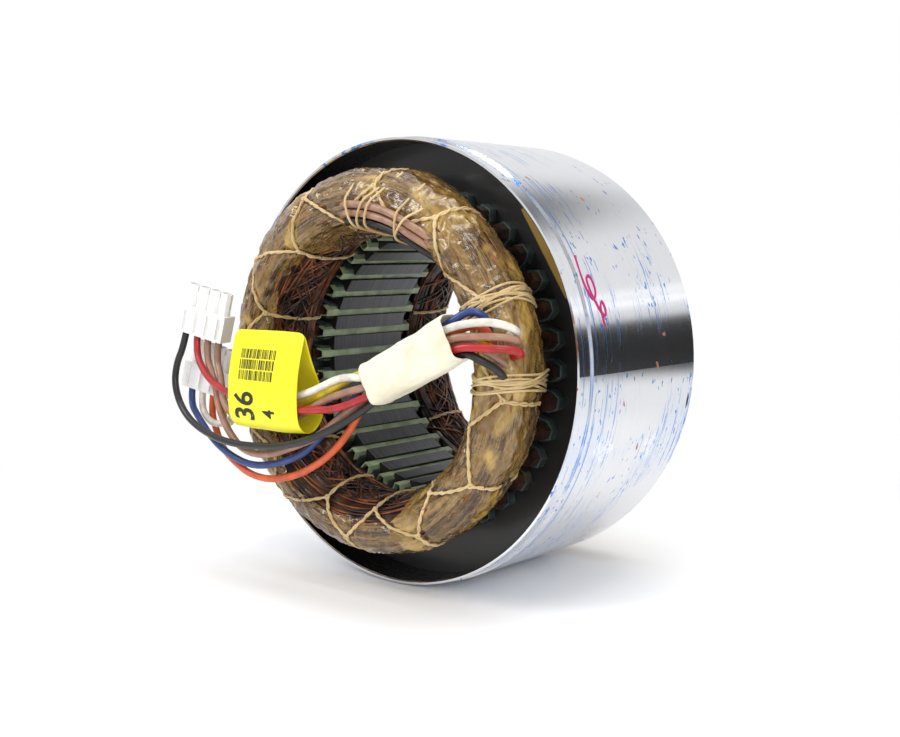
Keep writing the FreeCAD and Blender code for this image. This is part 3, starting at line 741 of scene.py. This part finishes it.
TAILS = {
    "white": [(11.0, -45.5, -1.8), (-6.0, -46.0, -9.5), (-24.0, -45.0, -15.0), (-44.0, -42.0, -19.5),
              (-62.0, -38.9, -23.0), (-79.0, -35.0, -32.0), (-93.0, -32.6, -33.0)],
    "brown_1": [(13.0, -46.8, -8.8), (-3.0, -45.0, -14.5), (-22.0, -44.0, -24.5), (-44.0, -43.5, -28.0),
                (-62.0, -42.8, -27.0), (-74.0, -40.5, -20.0), (-80.0, -36.0, -9.0)],
    "red": [(10.9, -47.6, -15.9), (-4.0, -48.0, -17.8), (-20.6, -48.5, -19.0), (-41.3, -48.0, -18.4),
            (-64.0, -45.5, -15.0), (-84.0, -41.6, -9.2)],
    "blue": [(18.5, -39.6, -5.4), (10.0, -38.5, -14.5), (-1.0, -38.0, -24.0), (-12.0, -38.0, -33.0),
             (-20.0, -38.5, -40.0), (-37.0, -38.5, -46.5), (-55.0, -39.2, -49.5), (-70.0, -40.2, -45.5),
             (-84.0, -38.5, -39.5), (-97.0, -35.5, -31.5)],
    "orange": [(21.0, -38.7, -8.7), (12.0, -38.0, -22.0), (5.0, -38.5, -31.4), (-8.0, -37.5, -41.7),
               (-26.0, -37.0, -51.0), (-44.8, -37.0, -55.3), (-59.2, -37.0, -54.1), (-70.0, -36.0, -50.0),
               (-82.0, -33.5, -45.0), (-92.0, -29.0, -38.5)],
    "brown_2": [(9.0, -43.0, -19.5), (-8.0, -42.4, -31.0), (-24.0, -42.6, -37.0), (-40.0, -42.6, -42.5),
                (-57.0, -42.3, -42.3), (-68.0, -42.0, -34.0), (-76.0, -41.0, -24.0), (-83.0, -37.5, -11.0)],
    "black": [(19.3, -45.0, -18.4), (2.0, -46.6, -27.5), (-18.4, -46.8, -34.8), (-42.0, -46.0, -38.2),
              (-66.8, -46.2, -38.3), (-90.8, -43.5, -33.1), (-104.5, -41.0, -25.5), (-110.5, -40.3, -14.5),
              (-109.8, -39.2, -3.5)],
    "yellow": [(16.0, -40.6, -1.0), (6.0, -42.3, -6.5), (-8.0, -42.0, -13.0), (-26.0, -40.0, -19.0),
               (-45.0, -38.0, -21.5), (-62.0, -35.0, -20.5), (-76.0, -30.8, -26.5), (-86.0, -27.0, -35.0)],
}

PLUG_PITCH = 6.35
LEAD_ENTRY = 5.0
LEAD_APPROACH = 8.0
PLUG_UP = Vector((0.24, 0.05, 0.97)).normalized()
PLUG_ROW = Vector((0.93, 0.29, -0.22))
PLUGS = {
    "plug_1": (Vector((-94.5, -35.0, 10.5)), ["black", "red", "brown_2", "brown_1"]),
    "plug_2": (Vector((-101.2, -26.7, -18.1)), ["blue", "white", "orange", "yellow"]),
}


def along_bundle(right, left, station):
    return right + (left - right) * (station / 3) + BUNDLE_SAG


def bundle_point(lead, side):
    layer = LAY[lead][2]
    depth = -REAR_LAYER if layer < 0 else layer * LAYER_PITCH[side]
    centre = (BUNDLE_RIGHT, BUNDLE_LEFT)[side]
    return centre + ROW_AXIS * (LAY[lead][side] * ROW_PITCH[side]) + LAYER_AXIS * depth


def lead_end(lead):
    """Where a lead enters its plug, and where it ends inside it."""
    depth = PLUG_UP.cross(PLUG_ROW).normalized()
    row = depth.cross(PLUG_UP)
    for centre, leads in PLUGS.values():
        if lead in leads:
            entry = centre + row * ((leads.index(lead) - 1.5) * PLUG_PITCH)
            return entry - PLUG_UP * LEAD_APPROACH, entry + PLUG_UP * LEAD_ENTRY


def lead_route(lead):
    right = bundle_point(lead, 0)
    left = bundle_point(lead, 1)
    bundle = [right, along_bundle(right, left, 1), along_bundle(right, left, 2), left]
    points = [Vector(p) for p in EXITS[lead]] + bundle + [Vector(p) for p in TAILS[lead]] + [*lead_end(lead)]
    return [mm(*point) for point in points]


def free_lead(lead, material):
    route = lead_route(lead)
    name = "lead_" + lead + "_run"
    slot = "lead_" + lead.split("_")[0]
    piece = add_piece(name, curve_of(name, [route], LEAD_R, 12, 5), material, ["lead_" + lead])


# ---- sleeve on the bundle
SLEEVE_FIT = 0.9
SLEEVE_WALL = 0.5
SLEEVE_SQUARE = 0.55         # 1 gives an oval section, and less a squarer one


def bundle_sleeve(material):
    """Flattened woven sleeve, creased a little and uneven at its mouths."""
    sizes = []
    for side in (0, 1):
        rows = [lay[side] for lay in LAY.values()]
        half_height = (max(rows) - min(rows)) / 2 * ROW_PITCH[side] + LEAD_R + SLEEVE_FIT
        middle = (max(rows) + min(rows)) / 2 * ROW_PITCH[side]
        sizes.append((half_height, REAR_LAYER + LEAD_R + SLEEVE_FIT, middle))
    along = BUNDLE_LEFT - BUNDLE_RIGHT

    def place(u, share):
        half_height, half_depth, middle = [blend_of(a, b, share) for a, b in zip(*sizes)]
        sag = BUNDLE_SAG * smooth(0, 0.3, share) * smooth(1, 0.7, share)
        centre = BUNDLE_RIGHT + along * share + ROW_AXIS * middle + sag
        turn = 2 * math.pi * u
        across = math.copysign(abs(math.cos(turn)) ** SLEEVE_SQUARE, math.cos(turn))
        depth = math.copysign(abs(math.sin(turn)) ** SLEEVE_SQUARE, math.sin(turn))
        wrinkle = 0.35 * noise.noise(Vector((across * 2, depth * 2, share * 5)))
        wrinkle += 0.18 * noise.noise(Vector((across * 5, depth * 5, share * 16)))
        mouth = along.normalized() * (0.7 * noise.noise(Vector((across * 2, depth * 2, 7))))
        mouth = mouth * (smooth(0.12, 0, share) + smooth(0.88, 1, share))
        offset = ROW_AXIS * (across * (half_height + wrinkle + SLEEVE_WALL))
        return mm(*(centre + offset + LAYER_AXIS * (depth * (half_depth + wrinkle + SLEEVE_WALL)) + mouth))

    mesh = mapped_sheet("bundle_sleeve", 96, 60, place, True)
    piece = add_piece("bundle_sleeve", mesh, material, ["lead_sleeve"])
    thicken(piece, SLEEVE_WALL * MM)
    return piece


# ---- tag folded round the bundle
TAG_SECTION = [(-45.2, 16.0), (-48.5, 6.0), (-51.2, -8.0), (-51.2, -22.0), (-48.5, -27.8), (-43.5, -30.6),
               (-37.5, -28.5), (-33.0, -22.0), (-34.0, -10.0), (-41.0, 4.0), (-44.4, 16.0)]
TAG_X = (-58.0, -12.0)
TAG_THICKNESS = 0.35
TAG_CORNER = 4.0
BARS_LIFT = 0.12             # print stands this far off the tag
NUMBER_LIFT = 0.2


def section_stations(section, count):
    """Evenly spaced points along a smooth curve over the section's points, as (y, z)."""
    curve = curve_of("section", [[Vector((y, z, 0)) for y, z in section]], 0, 24)
    holder = bpy.data.objects.new("section", curve)
    line = bpy.data.meshes.new_from_object(holder)
    points = [vertex.co.xy.copy() for vertex in line.vertices]
    bpy.data.objects.remove(holder)
    bpy.data.curves.remove(curve)
    bpy.data.meshes.remove(line)
    lengths = [0.0]
    for before, after in zip(points, points[1:]):
        lengths.append(lengths[-1] + (after - before).length)
    stations = []
    index = 0
    for step in range(count + 1):
        target = lengths[-1] * step / count
        while index < len(points) - 2 and lengths[index + 1] < target:
            index += 1
        share = (target - lengths[index]) / max(1e-9, lengths[index + 1] - lengths[index])
        stations.append(points[index].lerp(points[index + 1], share))
    return stations, lengths[-1]


TAG_STEPS = 240
TAG_STATIONS, TAG_LENGTH = section_stations(TAG_SECTION, TAG_STEPS)


def tag_point(across, down, lift=0.0):
    """A point on the tag's outside. across and down are millimetres from its front top left corner."""
    position = min(TAG_STEPS - 0.001, max(0.0, down / TAG_LENGTH * TAG_STEPS))
    index = int(position)
    here = TAG_STATIONS[index].lerp(TAG_STATIONS[index + 1], position - index)
    run = (TAG_STATIONS[index + 1] - TAG_STATIONS[index]).normalized()
    x = TAG_X[0] + across
    bow = 0.9 * math.sin(math.pi * across / (TAG_X[1] - TAG_X[0]))
    wave = 0.35 * noise.noise(Vector((x * 0.06, down * 0.05, 0)))
    out = lift + bow + wave - 0.5
    return mm(x, here.x + run.y * out, here.y - run.x * out)


def tag_sheet(material):
    width = TAG_X[1] - TAG_X[0]

    def place(u, v):
        down = TAG_LENGTH * (1 - v)
        from_end = min(down, TAG_LENGTH - down)
        inset = 0.0
        if from_end < TAG_CORNER:
            inset = TAG_CORNER - math.sqrt(TAG_CORNER ** 2 - (TAG_CORNER - from_end) ** 2)
        return tag_point(inset + (width - 2 * inset) * u, down)

    mesh = mapped_sheet("folded_tag", 48, 200, place)
    piece = add_piece("folded_tag", mesh, material, ["wire_tag"])
    thicken(piece, TAG_THICKNESS * MM)
    return piece


def on_tag(mesh, across, down, lift):
    """Lay a flat mesh, in millimetres, on the front of the tag."""
    for vertex in mesh.vertices:
        vertex.co = tag_point(across + vertex.co.x, down - vertex.co.y, lift)
    return mesh


def bar_block(material):
    """Plain bars in three rows with no code in them."""
    shape = bmesh.new()
    for row in range(3):
        across = 0.0
        while across < 23.0:
            width = rng.choice((0.35, 0.35, 0.6, 0.9))
            bar = bmesh.ops.create_grid(shape, x_segments=1, y_segments=6, size=0.5)
            bmesh.ops.scale(shape, vec=(width, 4.4, 1), verts=bar["verts"])
            bmesh.ops.translate(shape, vec=(across + width / 2, -5.0 * row - 2.2, 0), verts=bar["verts"])
            across += width + rng.choice((0.35, 0.5, 0.8))
    mesh = bpy.data.meshes.new("tag_bars")
    shape.to_mesh(mesh)
    shape.free()
    return add_piece("tag_bars", on_tag(mesh, 7.5, 9.0, BARS_LIFT), material)


def tag_number(name, text, size, across, down, material):
    """A plain number printed up the tag."""
    letters = bpy.data.curves.new(name, "FONT")
    letters.body = text
    letters.size = size
    letters.resolution_u = 3
    letters.offset = size * 0.018
    holder = bpy.data.objects.new(name, letters)
    mesh = bpy.data.meshes.new_from_object(holder)
    bpy.data.objects.remove(holder)
    bpy.data.curves.remove(letters)
    mesh.name = name
    for vertex in mesh.vertices:
        vertex.co = Vector((-vertex.co.y * 1.35, vertex.co.x, 0))
    return add_piece(name, on_tag(mesh, across, down, NUMBER_LIFT), material)


PEN_R = 1.1
PEN_SUNK = 0.92              # the line's middle lies this far under the sleeve's surface


def sleeve_scribble(material):
    """Marker scribble on the sleeve near the lead end."""
    route = [(27.0, 13.0), (22.5, 11.5), (18.0, 12.5), (15.5, 16.0), (18.0, 19.5), (22.0, 18.5), (21.5, 14.5),
             (17.5, 15.0), (13.5, 18.5), (11.5, 22.0), (13.5, 23.5), (16.0, 21.5), (13.5, 19.0), (9.5, 20.5)]
    radius = SLEEVE_R - PEN_SUNK
    lines = []
    for shift in (0.0, 0.7):
        line = []
        for angle, y in route:
            turn = math.radians(angle + 1.5 + shift * 0.4)
            line.append(mm(radius * math.cos(turn), y + shift, radius * math.sin(turn)))
        lines.append(line)
    curve = curve_of("sleeve_scribble", lines, PEN_R, 6, 6)
    add_piece("sleeve_scribble", curve, material)


# ---- studio
CAMERA_LENS = 50.44
CAMERA_PLACE = (0.3937, -0.4350, 0.0541)     # metres, with y from the lead-end face
CAMERA_TILT = 84.484
CAMERA_TURN = 39.55


def studio():
    camera_data = bpy.data.cameras.new("camera")
    camera_data.lens = CAMERA_LENS
    camera_data.sensor_width = 36.0
    camera_data.clip_start = 0.01
    camera = bpy.data.objects.new("camera", camera_data)
    x, y, z = CAMERA_PLACE
    camera.location = (x, y + LEAD_FACE, z)
    camera.rotation_euler = (math.radians(CAMERA_TILT), 0, math.radians(CAMERA_TURN))
    bpy.context.scene.collection.objects.link(camera)
    bpy.context.scene.camera = camera
    bpy.context.scene.view_settings.view_transform = "Standard"

    ground = bmesh.new()
    bmesh.ops.create_grid(ground, x_segments=1, y_segments=1, size=6.0)
    bmesh.ops.translate(ground, vec=(0, 0, sleeve_low[2]), verts=ground.verts)
    mesh = bpy.data.meshes.new("floor")
    ground.to_mesh(mesh)
    ground.free()
    floor = bpy.data.objects.new("floor", mesh)
    bpy.context.scene.collection.objects.link(floor)
    mesh.materials.append(floor_paper())

    add_lamp("key", (-0.55, -0.95, 0.95), (0.0, 0.0, 0.0), 0.55, 9.0)
    add_lamp("top", (0.25, 0.10, 1.25), (0.0, 0.02, 0.0), 0.70, 7.0)
    add_lamp("side", (1.05, -0.75, 0.45), (0.0, 0.0, 0.0), 0.35, 4.0)
    room()


def add_lamp(name, place, target, size, power):
    data = bpy.data.lights.new(name, "AREA")
    data.shape = "SQUARE"
    data.size = size
    data.energy = power
    lamp = bpy.data.objects.new(name, data)
    lamp.location = place
    lamp.rotation_euler = (Vector(target) - Vector(place)).to_track_quat("-Z", "Y").to_euler()
    bpy.context.scene.collection.objects.link(lamp)


def floor_paper():
    """White paper that goes over into the plain white background away from the object."""
    paper = Finish("floor_paper")
    paper.set(Base_Color=(0.93, 0.93, 0.935), Roughness=0.9)
    away = (paper.x * paper.x + paper.y * paper.y).power(0.5).step(0.16, 0.42)
    seen = paper.node("ShaderNodeLightPath", {}, {}, "Is Camera Ray")
    shine = paper.node("ShaderNodeLightPath", {}, {}, "Is Glossy Ray")
    clear = paper.node("ShaderNodeLightPath", {}, {}, "Is Transmission Ray")
    share = away * seen.math("MAXIMUM", shine).math("MAXIMUM", clear)
    toward_gap = (paper.x * GAP_WAY[0] + paper.y * GAP_WAY[1]).step(0.75, 0.95)
    far_gap = toward_gap * (paper.x + 0.12).step(0.0, 0.1) * shine
    glow = paper.node("ShaderNodeEmission", {}, {"Color": (1, 1, 1, 1), "Strength": 1 - far_gap * 0.97})
    shader = Value(paper, paper.shader.outputs[0])
    mixed = paper.node("ShaderNodeMixShader", {}, {0: share, 1: shader, 2: glow})
    paper.tree.links.new(mixed.socket, paper.surface)
    return paper.material


def room():
    """A pale studio with a dark gap low down along GAP_WAY, two thin strips and a dark area over it."""
    world = bpy.data.worlds.new("room")
    bpy.context.scene.world = world
    world.use_nodes = True
    walls = Nodes(world.node_tree)
    output = walls.tree.nodes.new("ShaderNodeOutputWorld")
    way = walls.node("ShaderNodeTexCoord", {}, {}, "Generated")
    x, y, z = walls.split(way)
    facing = x * GAP_WAY[0] + y * GAP_WAY[1]
    toward_gap = facing.step(0.50, 0.78)
    gap = (1 - z.step(0.150, 0.170)) * toward_gap
    lower_strip = z.step(0.225, 0.235) * (1 - z.step(0.250, 0.258))
    upper_strip = z.step(0.275, 0.285) * (1 - z.step(0.290, 0.298))
    strip = lower_strip + upper_strip
    upper = z.step(0.50, 0.60) * facing.step(0.52, 0.70)
    front_shade = (x * -0.3 - y * 0.95).step(0.2, 0.9) * z.step(-0.1, 0.3) * 0.35
    level = 0.92 - gap * 0.89 - upper * 0.80 - front_shade + strip * toward_gap * 0.7
    seen = walls.node("ShaderNodeLightPath", {}, {}, "Is Camera Ray")
    clear = walls.node("ShaderNodeLightPath", {}, {}, "Is Transmission Ray")
    plain_white = seen.math("MAXIMUM", clear)
    strength = level * (1 - plain_white) + plain_white
    backdrop = walls.node("ShaderNodeBackground", {}, {"Color": (1, 1, 1, 1), "Strength": strength})
    walls.tree.links.new(backdrop.socket, output.inputs["Surface"])


# ---- the whole
studio()

LEAD_COLOURS = {
    "white": (0.80, 0.75, 0.66), "brown": (0.37, 0.20, 0.13), "red": (0.44, 0.016, 0.018),
    "blue": (0.022, 0.055, 0.22), "orange": (0.66, 0.105, 0.022), "black": (0.016, 0.016, 0.017),
    "yellow": (0.86, 0.66, 0.03),
}
lead_skins = {name: lead_skin("lead_" + name, colour) for name, colour in LEAD_COLOURS.items()}
nylon = plain("white_nylon", (0.84, 0.84, 0.83), 0.30)
tin = plain("tinned_brass", (0.70, 0.66, 0.55), 0.28, metallic=1.0)
ink = plain("black_ink", (0.012, 0.012, 0.012), 0.45)
marker = plain("magenta_marker", (0.42, 0.008, 0.13), 0.5)
tag_stock = plain("yellow_tag", (0.90, 0.82, 0.01), 0.32, 120.0)
copper = magnet_wire("red_brown_wire", (0.070, 0.020, 0.010), (0.36, 0.115, 0.045))
dark_wire = magnet_wire("dark_wire", (0.012, 0.008, 0.007), (0.075, 0.030, 0.018), 0.3)
film = amber_film()
twine = lacing_twine()

repaint("frame_sleeve", ground_steel())
repaint("lamination_stack", lamination_steel())
repaint("slot_liners", slot_paper("liner_paper", (0.026, 0.044, 0.042), (0.075, 0.110, 0.102), 160.0))
repaint("slot_wedges", slot_paper("slot_strip", (0.26, 0.34, 0.20), (0.50, 0.60, 0.38), 90.0))
for phase in "uvw":
    repaint("coil_sides_" + phase, dark_wire)
for plug in PLUGS:
    repaint(plug + "_housing", nylon)
    repaint(plug + "_terminals", tin)

winding_core("front_coil_heads", LEAD_END, dark_wire, ["front_end_winding"])
winding_core("rear_coil_heads", FAR_END, dark_wire, ["rear_end_winding"])

front_lines = strands_for(LEAD_END, 150, angles=(105, 300), ovals=(-122, -2))
front_lines += strands_for(LEAD_END, 70, angles=(0, 360), ovals=(-120, 120))
rear_lines = strands_for(FAR_END, 150, angles=(0, 360), ovals=(-122, -20))
front_slot_lines = slot_wires(LEAD_END, 5)
rear_slot_lines = slot_wires(FAR_END, 4)
for name, lines, material in (
        ("front_bright_wires", front_lines[::2] + front_slot_lines[::2], copper),
        ("front_dark_wires", front_lines[1::2] + front_slot_lines[1::2], dark_wire),
        ("rear_bright_wires", rear_lines[::2] + rear_slot_lines[::2], copper),
        ("rear_dark_wires", rear_lines[1::2] + rear_slot_lines[1::2], dark_wire)):
    add_piece(name, curve_of(name, lines, STRAND_R, 2, 1), material)

film_wrap("front_film", LEAD_END, film, ["front_film_wrap"])
film_wrap("rear_film", FAR_END, film, ["rear_film_wrap"])
lacing_net("front_net", LEAD_END, twine, ["front_lacing"])
lacing_net("rear_net", FAR_END, twine, ["rear_lacing"])
heavy_tie("exit_tie", twine, ["lead_tie"])

jumpers = curve_of("crest_jumpers", [jumper_line(73.0, -29.2), jumper_line(69.2, -28.5)], LEAD_R, 8, 4)
add_piece("crest_jumpers", jumpers, lead_skins["brown"], ["jumper_leads"])
inner_jumper = curve_of("inner_jumper", [jumper_line(65.6, -26.2)], LEAD_R, 8, 4)
add_piece("inner_jumper", inner_jumper, lead_skins["black"], ["jumper_sleeving"])

sleeve_piece = bundle_sleeve(woven_sleeving())
tag_pieces = [tag_sheet(tag_stock), bar_block(ink), tag_number("tag_number", "36", 14.0, 18.0, 42.5, ink),
              tag_number("tag_count", "4", 8.0, 32.0, 40.0, ink)]
sleeve_scribble(marker)

for plug, (_, leads) in PLUGS.items():
    for lead in leads:
        carried = [plug + "_housing", plug + "_terminals"]
        if lead == "red":
            carried += [sleeve_piece, *tag_pieces]
        free_lead(lead, lead_skins[lead.split("_")[0]])
